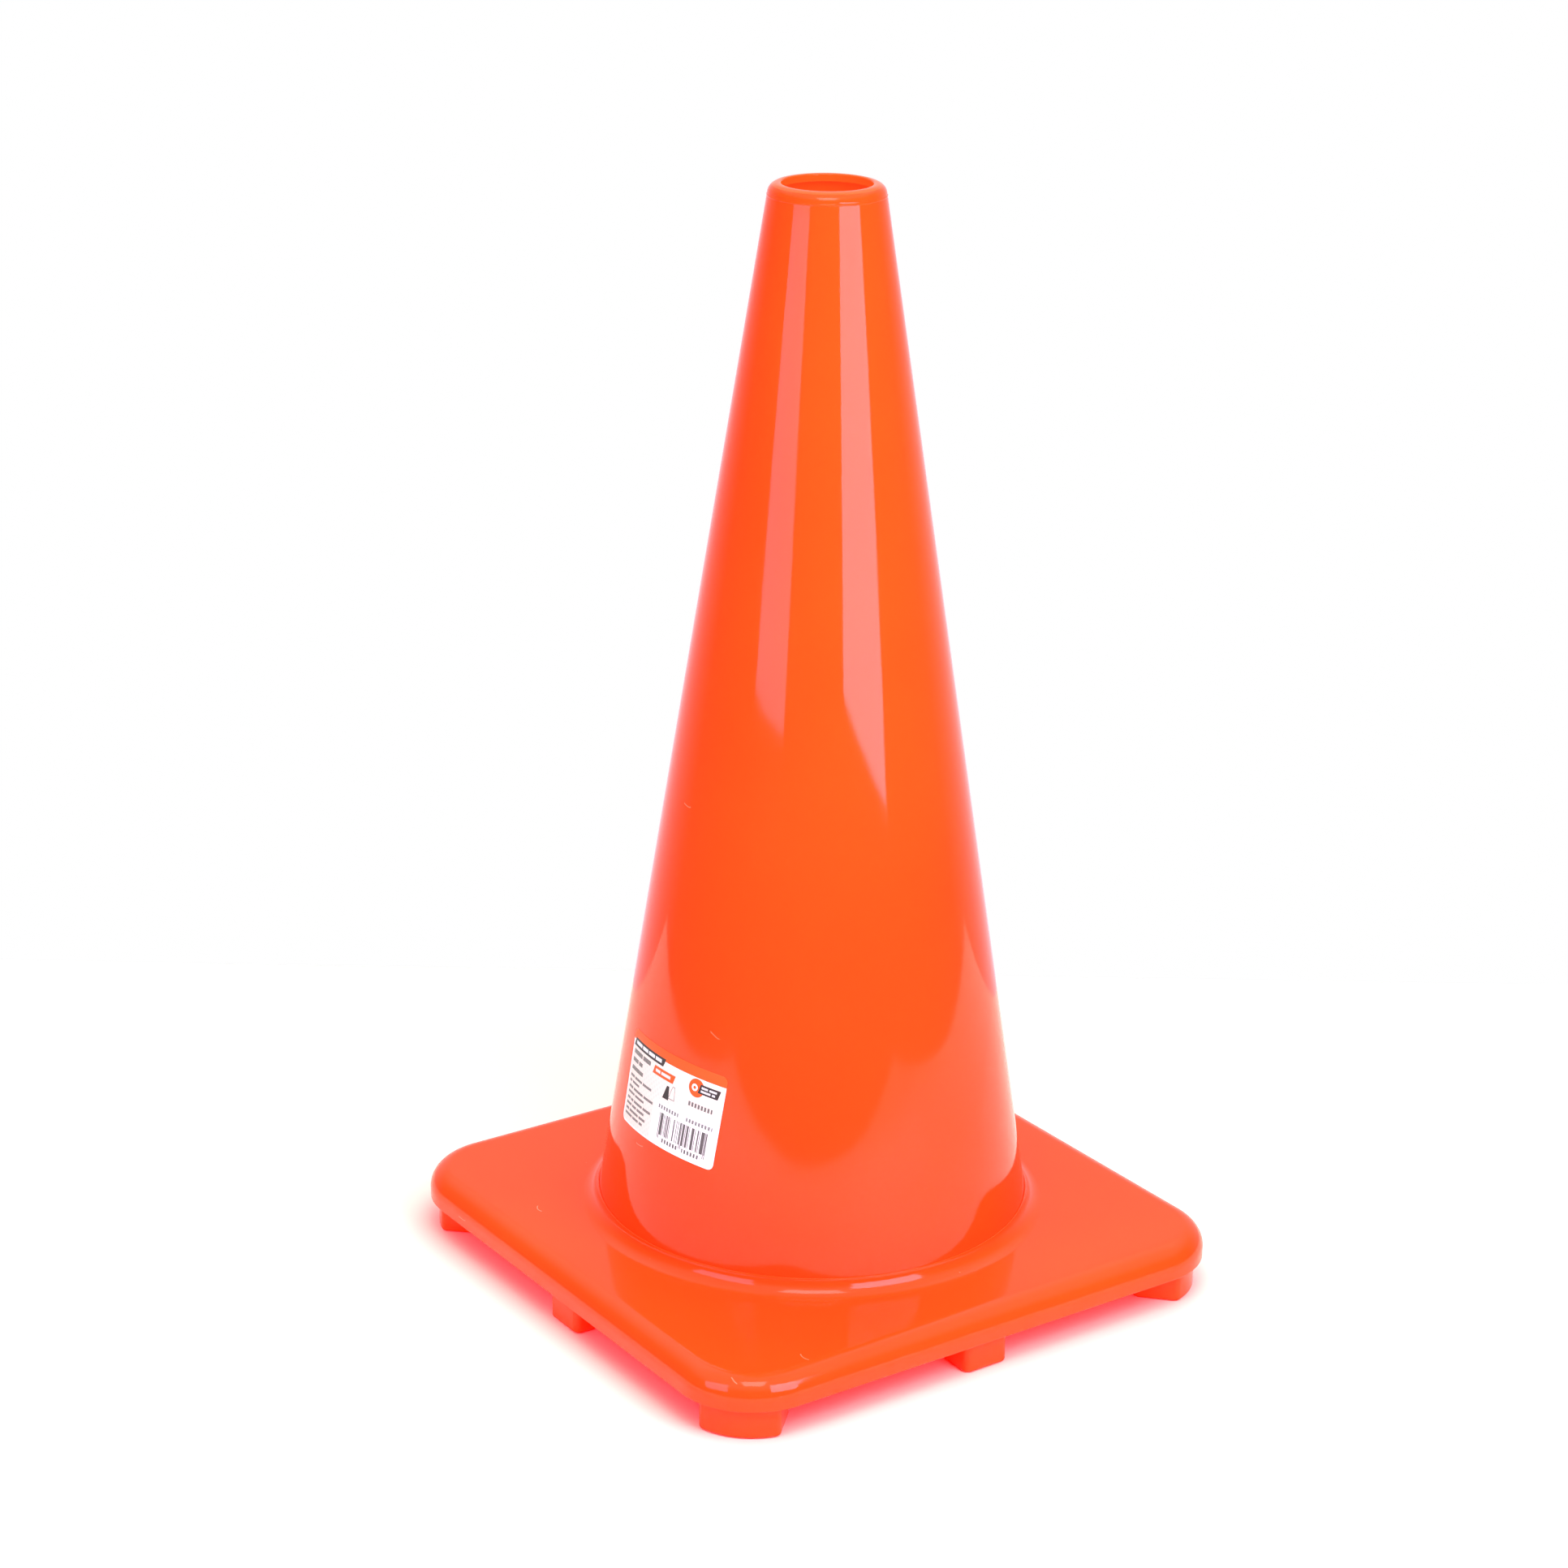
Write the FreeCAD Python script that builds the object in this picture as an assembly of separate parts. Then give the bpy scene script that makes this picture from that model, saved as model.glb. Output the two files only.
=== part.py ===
import FreeCAD, Part

import math
import os

# A traffic cone moulded in soft PVC, with its separate pieces in place:
#   cone_body       the hollow sleeve, with its in-turned lip and its seating flange
#   weighted_base   the heavy square base, with its collar and its eight feet
#   product_label   the printed film stuck to the sleeve
# Millimetres, +Z up. The origin is the middle of the footprint, on the ground.

# ---- overall ----
total_height = 457.0
base_side = 254.0

# ---- weighted base ----
base_corner_radius = 33.0
deck_margin = 20.2            # level plate between the collar and the rounded edge
foot_height = 13.4            # from the ground to the underside of the plate
plate_thickness = 13.1
plate_top_rounding = 9.0
plate_bottom_rounding = 0.8

# ---- collar, raised on the plate around the sleeve ----
collar_rise = 6.6             # from the plate's top to where the collar leaves the sleeve
collar_lip = 0.5              # blunt upper edge that lies against the sleeve
collar_reach = 7.0            # from the sleeve at plate level out to the collar's foot

# ---- sleeve ----
mouth_radius = 17.8
mouth_rounding = 0.6
rim_rounding = 4.2
rim_lip = 3.2                 # thickness of the in-turned lip
wall = 2.6                    # measured level, not square to the slope
flange_thickness = 3.0
flange_reach = 11.0           # how far the flange stands out from the sleeve

# ---- fits between the sleeve and the base ----
throat_clearance = 0.1
flange_clearance = 0.4

# ---- feet ----
foot_inset = 3.5              # feet stand this far inside the plate's outline
side_foot_width = 21.0
side_foot_depth = 18.0
corner_foot_width = 32.5
corner_foot_depth = 24.0
foot_upright_rounding = 3.2
foot_bottom_rounding = 1.5
foot_root = 2.0               # how far a foot is carried up into the plate

# ---- label ----
label_width = 60.0            # measured around the sleeve
label_height = 40.0           # measured along the slope
label_corner_radius = 2.5
label_film = 0.12
label_centre_height = 93.4
label_bearing = -84.0         # degrees from +X, seen from above
label_tilt = 2.2              # degrees, with its right-hand end low

cut_overshoot = 1.0           # how far a cutting shape runs past what it cuts

# ---- heights and radii that follow from the sizes above ----
# The sleeve fills the base up to the deck margin, and its rim is as wide as
# its two roundings. Both radii are of the sleeve's outside: the foot's is
# level with the plate's top, the tip's is the slope carried up to the very top.
plate_underside = foot_height
plate_top = foot_height + plate_thickness
half_side = base_side / 2
foot_radius = half_side - plate_top_rounding - deck_margin - collar_reach
tip_radius = mouth_radius + mouth_rounding + rim_rounding
slope = (foot_radius - tip_radius) / (total_height - plate_top)
taper = math.atan(slope)

up = FreeCAD.Vector(0, 0, 1)
centre = FreeCAD.Vector(0, 0, 0)


def sleeve_radius(z):
    """Outside radius of the sleeve at height z."""
    return tip_radius + slope * (total_height - z)


def turned(points):
    """Solid of revolution about Z from a closed (radius, height) outline."""
    corners = [FreeCAD.Vector(r, 0, z) for r, z in points]
    outline = Part.makePolygon(corners + corners[:1])
    return Part.Face(outline).revolve(centre, up, 360)


def rings_at(shape, radius, height, tolerance=0.05):
    """Circular edges of a turned shape at one radius and height."""
    found = []
    for edge in shape.Edges:
        if not isinstance(edge.Curve, Part.Circle):
            continue
        same_radius = abs(edge.Curve.Radius - radius) < tolerance
        same_height = abs(edge.Curve.Center.z - height) < tolerance
        if same_radius and same_height:
            found.append(edge)
    return found


def edges_level_with(shape, height):
    """Every edge that lies wholly at one height."""
    level = []
    for edge in shape.Edges:
        box = edge.BoundBox
        if abs(box.ZMin - height) < 1e-3 and abs(box.ZMax - height) < 1e-3:
            level.append(edge)
    return level


def upright_edges(shape):
    """Every edge that runs straight up."""
    upright = []
    for edge in shape.Edges:
        box = edge.BoundBox
        if box.XLength < 1e-3 and box.YLength < 1e-3 and box.ZLength > 1e-3:
            upright.append(edge)
    return upright


def block(width, depth, height, middle):
    """Rectangular block standing on a point, which is the middle of its foot."""
    corner = FreeCAD.Vector(middle[0] - width / 2, middle[1] - depth / 2, middle[2])
    return Part.makeBox(width, depth, height, corner)


# ---- cone_body ----
# A thin conical sleeve. Its wall turns in at the top to a flat lip around the
# mouth, and turns out at the foot to a flange that lies under the base.
flange_top = plate_underside + flange_thickness
flange_radius = sleeve_radius(plate_underside) + flange_reach
lip_underside = total_height - rim_lip

sleeve_outside = turned([
    (0, plate_underside),
    (sleeve_radius(plate_underside), plate_underside),
    (tip_radius, total_height),
    (0, total_height),
])
sleeve_outside = sleeve_outside.makeFillet(
    rim_rounding, rings_at(sleeve_outside, tip_radius, total_height))

bore_foot = sleeve_radius(plate_underside) - wall
bore_tip = sleeve_radius(lip_underside) - wall
sleeve_inside = turned([
    (0, plate_underside),
    (bore_foot, plate_underside),
    (bore_tip, lip_underside),
    (0, lip_underside),
])
sleeve_inside = sleeve_inside.makeFillet(
    rim_rounding - wall, rings_at(sleeve_inside, bore_tip, lip_underside))

flange = turned([
    (sleeve_radius(plate_underside) - wall / 2, plate_underside),
    (flange_radius, plate_underside),
    (flange_radius, flange_top),
    (sleeve_radius(flange_top) - wall / 2, flange_top),
])
mouth = Part.makeCylinder(
    mouth_radius, rim_lip + 2 * cut_overshoot, FreeCAD.Vector(0, 0, lip_underside - cut_overshoot))

cone_body = sleeve_outside.fuse(flange)
cone_body = cone_body.cut(sleeve_inside).cut(mouth).removeSplitter()
cone_body = cone_body.makeFillet(
    mouth_rounding, rings_at(cone_body, mouth_radius, total_height))

# ---- weighted_base: plate ----
# A thick square plate with round corners and a broad rounding along its top.
plate = block(base_side, base_side, plate_thickness, (0, 0, plate_underside))
plate = plate.makeFillet(base_corner_radius, upright_edges(plate))
plate = plate.makeFillet(plate_top_rounding, edges_level_with(plate, plate_top))
plate = plate.makeFillet(plate_bottom_rounding, edges_level_with(plate, plate_underside))

# ---- weighted_base: collar ----
# The collar is a hollow fillet: an arc that falls steeply from a blunt lip against
# the sleeve and ends level with the plate.
collar_top = plate_top + collar_rise
collar_foot_radius = foot_radius + collar_reach
lip_radius = sleeve_radius(collar_top) + throat_clearance + collar_lip
arc_run = collar_foot_radius - lip_radius
arc_radius = (arc_run ** 2 + collar_rise ** 2) / (2 * collar_rise)
arc_middle = FreeCAD.Vector(collar_foot_radius, 0, plate_top + arc_radius)
arc_sweep = math.atan2(arc_run, arc_radius - collar_rise)


def on_arc(share):
    """Point on the collar's hollow face: 0 at the plate, 1 at the lip."""
    swing = share * arc_sweep
    return arc_middle + FreeCAD.Vector(-arc_radius * math.sin(swing), 0, -arc_radius * math.cos(swing))


collar_inner = sleeve_radius(collar_top) - wall / 2
collar_root = plate_top - plate_thickness / 2
hollow = Part.Arc(on_arc(0), on_arc(0.5), on_arc(1)).toShape()
straight = Part.makePolygon([
    on_arc(1),
    FreeCAD.Vector(collar_inner, 0, collar_top),
    FreeCAD.Vector(collar_inner, 0, collar_root),
    FreeCAD.Vector(collar_foot_radius, 0, collar_root),
    on_arc(0),
])
collar_outline = Part.Wire(straight.Edges + [hollow])
collar = Part.Face(collar_outline).revolve(centre, up, 360)
base = plate.fuse(collar).removeSplitter()

# ---- weighted_base: feet ----
# Eight solid pads hang under the plate: a block at the middle of each side and,
# at each corner, a wider pad whose outer face follows the plate's round corner.


def finished_foot(pad):
    """Foot pad with its upright edges and its sole's edge rounded."""
    pad = pad.makeFillet(foot_upright_rounding, upright_edges(pad))
    return pad.makeFillet(foot_bottom_rounding, edges_level_with(pad, 0))


foot_length = foot_height + foot_root
side_foot_middle = half_side - foot_inset - side_foot_depth / 2
side_foot = finished_foot(block(
    side_foot_depth, side_foot_width, foot_length, (side_foot_middle, 0, 0)))

corner_arc_radius = base_corner_radius - foot_inset
corner_arc_middle = (half_side - base_corner_radius) * math.sqrt(2)
corner_foot_outer = corner_arc_middle + corner_arc_radius
corner_foot_middle = corner_foot_outer - corner_foot_depth / 2
corner_block = block(
    corner_foot_depth, corner_foot_width, foot_length, (corner_foot_middle, 0, 0))
corner_round = Part.makeCylinder(
    corner_arc_radius, foot_length, FreeCAD.Vector(corner_arc_middle, 0, 0))
corner_foot = finished_foot(corner_block.common(corner_round))

for quarter in range(4):
    side_pad = side_foot.copy()
    side_pad.rotate(centre, up, 90 * quarter)
    corner_pad = corner_foot.copy()
    corner_pad.rotate(centre, up, 90 * quarter + 45)
    base = base.fuse([side_pad, corner_pad])

# ---- weighted_base: throat ----
# The sleeve comes up through the throat from below until its flange seats in
# the pocket under the plate.
throat_foot = plate_underside - cut_overshoot
throat_head = collar_top + cut_overshoot
throat = turned([
    (0, throat_foot),
    (sleeve_radius(throat_foot) + throat_clearance, throat_foot),
    (sleeve_radius(throat_head) + throat_clearance, throat_head),
    (0, throat_head),
])
pocket = Part.makeCylinder(
    flange_radius + flange_clearance, flange_top + cut_overshoot, FreeCAD.Vector(0, 0, -cut_overshoot))
weighted_base = base.cut(throat).cut(pocket).removeSplitter()

# ---- product_label ----
# A thin film wrapped on the sleeve: the skin just outside the sleeve, kept
# where a prism with round corners passes through it.
label_middle_radius = sleeve_radius(label_centre_height)
chord = 2 * label_middle_radius * math.sin(label_width / (2 * label_middle_radius))
film_level = label_film / math.cos(taper)
label_foot = label_centre_height - label_height
label_head = label_centre_height + label_height


def skin(extra):
    """Solid cone around the label's height, wider than the sleeve by extra."""
    return turned([
        (0, label_foot),
        (sleeve_radius(label_foot) + extra, label_foot),
        (sleeve_radius(label_head) + extra, label_head),
        (0, label_head),
    ])


prism_length = 2 * label_middle_radius
label_prism = Part.makeBox(
    prism_length, chord, label_height, FreeCAD.Vector(0, -chord / 2, -label_height / 2))
lengthwise = [e for e in label_prism.Edges if abs(e.BoundBox.XLength - prism_length) < 1e-3]
label_prism = label_prism.makeFillet(label_corner_radius, lengthwise)
label_prism.rotate(centre, FreeCAD.Vector(1, 0, 0), -label_tilt)
label_prism.rotate(centre, FreeCAD.Vector(0, 1, 0), -math.degrees(taper))
label_prism.translate(FreeCAD.Vector(0, 0, label_centre_height - label_middle_radius * math.tan(taper)))
label_prism.rotate(centre, up, label_bearing)
product_label = skin(film_level).cut(skin(0)).common(label_prism)

# ---- export ----
pieces = {
    "cone_body": cone_body,
    "weighted_base": weighted_base,
    "product_label": product_label,
}
os.makedirs("parts", exist_ok=True)
for name, shape in pieces.items():
    if len(shape.Solids) != 1 or not shape.isValid():
        raise SystemExit(name + " isn't one valid solid")
    solid = shape.Solids[0]
    solid.exportStep("parts/" + name + ".step")
    box = solid.BoundBox
    print(name, "volume %.0f mm3" % solid.Volume,
          "x %.2f..%.2f" % (box.XMin, box.XMax),
          "y %.2f..%.2f" % (box.YMin, box.YMax),
          "z %.2f..%.2f" % (box.ZMin, box.ZMax))
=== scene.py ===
import math

import bmesh
import bpy
from mathutils import Matrix, Vector


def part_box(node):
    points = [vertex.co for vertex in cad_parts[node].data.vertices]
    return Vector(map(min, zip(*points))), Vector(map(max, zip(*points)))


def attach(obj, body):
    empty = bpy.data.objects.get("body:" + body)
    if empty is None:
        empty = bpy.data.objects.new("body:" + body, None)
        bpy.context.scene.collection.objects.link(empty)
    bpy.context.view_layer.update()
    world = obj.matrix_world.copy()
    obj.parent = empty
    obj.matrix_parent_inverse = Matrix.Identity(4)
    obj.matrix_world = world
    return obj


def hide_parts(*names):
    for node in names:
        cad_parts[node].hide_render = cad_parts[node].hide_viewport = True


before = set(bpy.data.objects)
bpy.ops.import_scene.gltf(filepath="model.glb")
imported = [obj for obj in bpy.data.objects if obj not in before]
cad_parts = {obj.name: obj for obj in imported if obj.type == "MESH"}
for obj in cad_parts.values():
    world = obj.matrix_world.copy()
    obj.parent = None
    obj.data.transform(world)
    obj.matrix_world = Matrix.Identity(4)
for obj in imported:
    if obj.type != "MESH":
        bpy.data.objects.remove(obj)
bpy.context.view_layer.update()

# The scene is in metres, in the cone's own frame: +Z up from the ground, X and Y along
# the sides of the base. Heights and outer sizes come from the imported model's boxes.

# ---- Sleeve ----
# The tall hollow cone, injection moulded in soft PVC. Its wall turns in to a lip around
# the open mouth, and turns out at the foot to a flange that is trapped under the base.

sleeve_low, sleeve_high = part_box("cone_body")
total_height = sleeve_high.z
seat_height = sleeve_low.z
flange_radius = sleeve_high.x
flange_reach = 0.011
flange_thickness = 0.003
wall = 0.0026
mouth_radius = 0.0178
mouth_rounding = 0.0006
rim_rounding = 0.0042
rim_lip = 0.0032
edge_rounding = 0.0003
seat_radius = flange_radius - flange_reach
tip_radius = mouth_radius + mouth_rounding + rim_rounding
slope = (seat_radius - tip_radius) / (total_height - seat_height)
taper = math.atan(slope)

# A low witness ring stands on the wall where the mould's rim insert met its body.
witness_drop = 0.0039
witness_width = 0.0009
witness_proud = 0.00012
witness_bevel = 0.3


class Wire:
    """One output of a node tree. Arithmetic on wires adds Math nodes to that tree."""

    def __init__(self, tree, socket=None):
        self.tree = tree
        self.socket = socket

    def node(self, kind, inputs=None, output=0, **settings):
        """Adds any node: first its settings, then a value or a wire for each input."""
        made = self.tree.nodes.new(kind)
        for name, value in settings.items():
            setattr(made, name, value)
        for key, value in (inputs or {}).items():
            if isinstance(value, Wire):
                self.tree.links.new(value.socket, made.inputs[key])
            else:
                made.inputs[key].default_value = value
        return Wire(self.tree, made.outputs[output] if made.outputs else None)

    def math(self, operation, *values):
        return self.node("ShaderNodeMath", dict(enumerate(values)), operation=operation)

    def __add__(self, other):
        return self.math("ADD", self, other)

    def __radd__(self, other):
        return self.math("ADD", other, self)

    def __sub__(self, other):
        return self.math("SUBTRACT", self, other)

    def __rsub__(self, other):
        return self.math("SUBTRACT", other, self)

    def __mul__(self, other):
        return self.math("MULTIPLY", self, other)

    def __rmul__(self, other):
        return self.math("MULTIPLY", other, self)

    def __truediv__(self, other):
        return self.math("DIVIDE", self, other)

    def __rtruediv__(self, other):
        return self.math("DIVIDE", other, self)

    def __gt__(self, other):
        return self.math("GREATER_THAN", self, other)

    def __lt__(self, other):
        return self.math("LESS_THAN", self, other)

    def __abs__(self):
        return self.math("ABSOLUTE", self)

    def root(self):
        return self.math("SQRT", self)

    def fraction(self):
        return self.math("FRACT", self)

    def at_least(self, low):
        return self.math("MAXIMUM", self, low)

    def wave(self):
        """Sine, carried to the range 0 to 1."""
        return self.math("SINE", self) * 0.5 + 0.5

    def output(self, name):
        """Another output of the node that this wire comes from."""
        return Wire(self.tree, self.socket.node.outputs[name])

    def parts(self):
        """The three numbers of a vector."""
        split = self.node("ShaderNodeSeparateXYZ", {0: self})
        return [split.output(axis) for axis in range(3)]


def node_group(name, sizes):
    """Geometry Nodes group with one named float input for each size."""
    tree = bpy.data.node_groups.new(name, "GeometryNodeTree")
    for label, value in sizes.items():
        plug = tree.interface.new_socket(label, in_out="INPUT", socket_type="NodeSocketFloat")
        plug.default_value = value
    tree.interface.new_socket("Mesh", in_out="OUTPUT", socket_type="NodeSocketGeometry")
    source = tree.nodes.new("NodeGroupInput")
    wires = {label: Wire(tree, source.outputs[label]) for label in sizes}
    return tree, wires


def grown(tree, sizes, name):
    """Plain mesh object made by a Geometry Nodes group with its inputs set to sizes."""
    seed = bpy.data.objects.new(name, bpy.data.meshes.new(name))
    bpy.context.scene.collection.objects.link(seed)
    modifier = seed.modifiers.new("Build", "NODES")
    modifier.node_group = tree
    for plug in tree.interface.items_tree:
        if plug.item_type == "SOCKET" and plug.in_out == "INPUT":
            modifier[plug.identifier] = sizes[plug.name]
    seed.data = settled(seed)
    seed.modifiers.clear()
    return seed


def settled(piece):
    """New mesh of a piece with all its modifiers worked in."""
    graph = bpy.context.evaluated_depsgraph_get()
    return bpy.data.meshes.new_from_object(
        piece.evaluated_get(graph), preserve_all_data_layers=True, depsgraph=graph)


sharpest_smooth_angle = math.radians(50)


def finish_surface(piece):
    """Outward faces, smooth shading that keeps broad faces flat, and one plain mesh."""
    shape = bmesh.new()
    shape.from_mesh(piece.data)
    bmesh.ops.recalc_face_normals(shape, faces=shape.faces)
    for face in shape.faces:
        face.smooth = True
    for edge in shape.edges:
        edge.smooth = edge.calc_face_angle(0.0) < sharpest_smooth_angle
    shape.to_mesh(piece.data)
    shape.free()
    weighted = piece.modifiers.new("Broad faces flat", "WEIGHTED_NORMAL")
    weighted.keep_sharp = True
    weighted.mode = "FACE_AREA"
    weighted.weight = 100
    piece.data = settled(piece)
    piece.modifiers.clear()


sleeve_sizes = {
    "Total Height": total_height,
    "Seat Height": seat_height,
    "Seat Radius": seat_radius,
    "Tip Radius": tip_radius,
    "Wall": wall,
    "Rim Rounding": rim_rounding,
    "Rim Lip": rim_lip,
    "Mouth Radius": mouth_radius,
    "Mouth Rounding": mouth_rounding,
    "Flange Radius": flange_radius,
    "Flange Thickness": flange_thickness,
    "Edge Rounding": edge_rounding,
    "Witness Drop": witness_drop,
    "Witness Width": witness_width,
    "Witness Proud": witness_proud,
}
sleeve_tree, size = node_group("Turned sleeve", sleeve_sizes)
sheet = Wire(sleeve_tree)
lean = (size["Seat Radius"] - size["Tip Radius"]) / (size["Total Height"] - size["Seat Height"])


def outside(height):
    return size["Tip Radius"] + lean * (size["Total Height"] - height)


flange_top = size["Seat Height"] + size["Flange Thickness"]
lip_under = size["Total Height"] - size["Rim Lip"]
witness_top = size["Total Height"] - size["Witness Drop"]
witness_foot = witness_top - size["Witness Width"]
fine = size["Edge Rounding"]
none = fine * 0.0
bevel = size["Witness Width"] * witness_bevel
# Each corner of the outline: radius, height, rounding.
outline = [
    (size["Flange Radius"], size["Seat Height"], fine),
    (size["Flange Radius"], flange_top, fine),
    (outside(flange_top), flange_top, fine),
    (outside(witness_foot - size["Witness Width"]), witness_foot - size["Witness Width"], none),
    (outside(witness_foot), witness_foot, fine),
    (outside(witness_foot) + size["Witness Proud"], witness_foot + bevel, fine),
    (outside(witness_top) + size["Witness Proud"], witness_top - bevel, fine),
    (outside(witness_top), witness_top, fine),
    (size["Tip Radius"], size["Total Height"], size["Rim Rounding"]),
    (size["Mouth Radius"], size["Total Height"], size["Mouth Rounding"]),
    (size["Mouth Radius"], lip_under, fine),
    (outside(lip_under) - size["Wall"], lip_under, size["Rim Rounding"] - size["Wall"]),
    (size["Seat Radius"] - size["Wall"], size["Seat Height"], fine),
]
# The outline is swept round a small rail circle: its x runs outward from the rail, and
# its y runs down.
rail_radius = 0.01
steps_around = 288
steps_per_rounding = 10
corner = sheet.node("GeometryNodeInputIndex")
place = sheet.node("GeometryNodeIndexSwitch", {0: corner}, data_type="VECTOR")
rounding = sheet.node("GeometryNodeIndexSwitch", {0: corner}, data_type="FLOAT")
for number, (radius, height, turn) in enumerate(outline):
    for switch in (place, rounding):
        if number > 1:
            switch.socket.node.index_switch_items.new()
    point = sheet.node("ShaderNodeCombineXYZ", {0: radius - rail_radius, 1: 0.0 - height})
    sleeve_tree.links.new(point.socket, place.socket.node.inputs[number + 1])
    sleeve_tree.links.new(turn.socket, rounding.socket.node.inputs[number + 1])
line = sheet.node("GeometryNodeMeshLine", {"Count": len(outline)})
placed = sheet.node("GeometryNodeSetPosition", {"Geometry": line, "Position": place})
curve = sheet.node("GeometryNodeMeshToCurve", {0: placed})
closed = sheet.node("GeometryNodeSetSplineCyclic", {"Geometry": curve, "Cyclic": True})
filleted = sheet.node("GeometryNodeFilletCurve", {
    "Curve": closed, "Count": steps_per_rounding, "Radius": rounding,
    "Limit Radius": True}, mode="POLY")
rail = sheet.node("GeometryNodeCurvePrimitiveCircle", {
    "Resolution": steps_around, "Radius": rail_radius})
swept = sheet.node("GeometryNodeCurveToMesh", {"Curve": rail, "Profile Curve": filleted})
whole = sheet.node("GeometryNodeRealizeInstances", {0: swept})

# The material: glossy soft PVC with a fluorescent orange pigment. Its skin has slow
# flow waves, a fine orange peel, smudges that dull the gloss, and light handling marks.
pvc_orange = (1.0, 0.068, 0.0062, 1.0)
pvc_deep = (1.0, 0.057, 0.0050, 1.0)
# Painted shade: the deeper colour the PVC turns to low down.
pvc_painted_shade = (1.0, 0.044, 0.0046, 1.0)
pvc_pale = (1.0, 0.30, 0.16, 1.0)
pvc_speck = (0.16, 0.02, 0.01, 1.0)
# Painted light: a faint red emission over all the PVC, standing in for the pigment's fluorescence,
# though the PVC is no lamp.
pvc_painted_glow = (0.06, 0.0012, 0.0, 1.0)
# Painted light: a strong emission that makes the sleeve's inside glow.
pvc_painted_glow_inside = (0.45, 0.045, 0.008, 1.0)
pvc_ior = 1.34
pvc_roughness = 0.06
# Heights over which the painted shade fades out, going up.
painted_shade_from = 0.02
painted_shade_to = 0.30
flow_scale = 7.0
smudge_scale = 16.0
smudge_roughness = 0.05
scatter_weight = 0.12
scatter_radius = (1.0, 0.25, 0.06)
scatter_scale = 0.003
wave_scale = 22.0
wave_height = 0.00007
peel_scale = 900.0
peel_height = 0.000003
nick_warp_scale = 60.0
nick_warp = 0.006
nick_bow = 90.0
nick_half_length = 0.0028
nick_half_width = 0.00028
nick_paleness = 0.4
nick_roughness = 0.35
speck_radius = 0.012
speck_crowding = 1.7
speck_share = 0.6
speck_darkness = 0.8


def noise(wire, where, scale, detail=2.0, output=0, **more):
    inputs = {"Vector": where, "Scale": scale, "Detail": detail}
    inputs.update(more)
    return wire.node("ShaderNodeTexNoise", inputs, output)


def spread(wire, value, low, high, to_low=0.0, to_high=1.0):
    """Value carried from one range to another, with its ends held."""
    return wire.node("ShaderNodeMapRange", {
        "Value": value, "From Min": low, "From Max": high, "To Min": to_low, "To Max": to_high})


def blended(wire, factor, first, second):
    return wire.node("ShaderNodeMix", {0: factor, 6: first, 7: second}, 2, data_type="RGBA")


def bump(wire, height, distance, beneath=None):
    inputs = {"Height": height, "Distance": distance, "Strength": 1.0}
    if beneath is not None:
        inputs["Normal"] = beneath
    return wire.node("ShaderNodeBump", inputs)


def new_material(name):
    material = bpy.data.materials.new(name)
    material.use_nodes = True
    tree = material.node_tree
    tree.nodes.clear()
    return material, Wire(tree)


def surface(wire, **inputs):
    """Closes a material with one Principled shader."""
    named = {key.replace("_", " "): value for key, value in inputs.items()}
    shader = wire.node("ShaderNodeBsdfPrincipled", named)
    wire.node("ShaderNodeOutputMaterial", {"Surface": shader})


def painted_inside_glow(pvc, where):
    """Painted light: an emission makes the sleeve's inside glow, standing in for light that soaks
    through the thin wall.
    """
    east, north, up = where.parts()
    radius = (east * east + north * north).root()
    middle_of_wall = tip_radius + slope * total_height - wall / 2
    inside = (radius + up * slope) < middle_of_wall
    return blended(pvc, inside, pvc_painted_glow, pvc_painted_glow_inside)


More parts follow.
